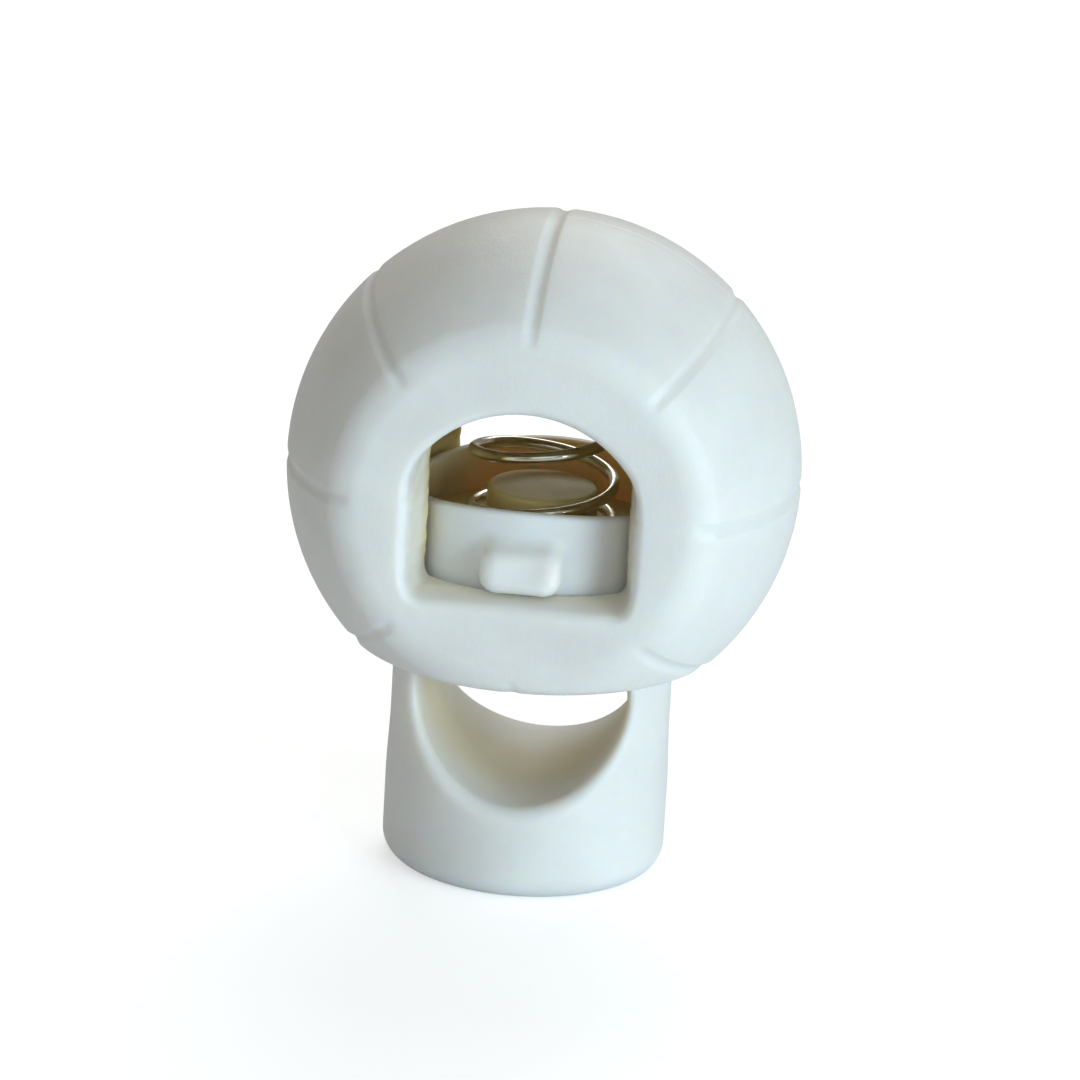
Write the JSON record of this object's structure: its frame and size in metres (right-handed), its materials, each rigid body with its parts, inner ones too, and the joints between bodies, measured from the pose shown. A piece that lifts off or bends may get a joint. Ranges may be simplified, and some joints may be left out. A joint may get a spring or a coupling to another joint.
{
  "type": "cord lock",
  "caption": "Ball-shaped spring cord lock with arched cord windows, radial grooves and a round push plunger with a cord eye.",
  "frame": {"origin": "centre of the plunger's flat end face, with the plunger fully out", "axes": "+Z along the plunger's axis, from its end face towards the top of the ball; +Y along the cord, from the front cord face to the back one; +X across, to the right when the front face is looked at"},
  "size_m": [0.018, 0.0128, 0.0235],
  "materials": {
    "body_plastic": "white moulded acetal, soft satin sheen",
    "plunger_plastic": "white moulded acetal, fine texture, soft satin sheen",
    "spring_steel": "bright drawn spring wire"
  },
  "bodies": {
    "shell": {"ball_body": "body_plastic", "spring": "spring_steel"},
    "plunger": {"plunger": "plunger_plastic"}
  },
  "joints": [
    {"name": "plunger_press", "type": "slide", "parent": "shell", "child": "plunger", "axis": [0, 0, 1], "range_m": [0, 0.0046], "stiffness_N_per_m": 620, "springref_m": -0.003, "deforming": ["spring"]}
  ]
}
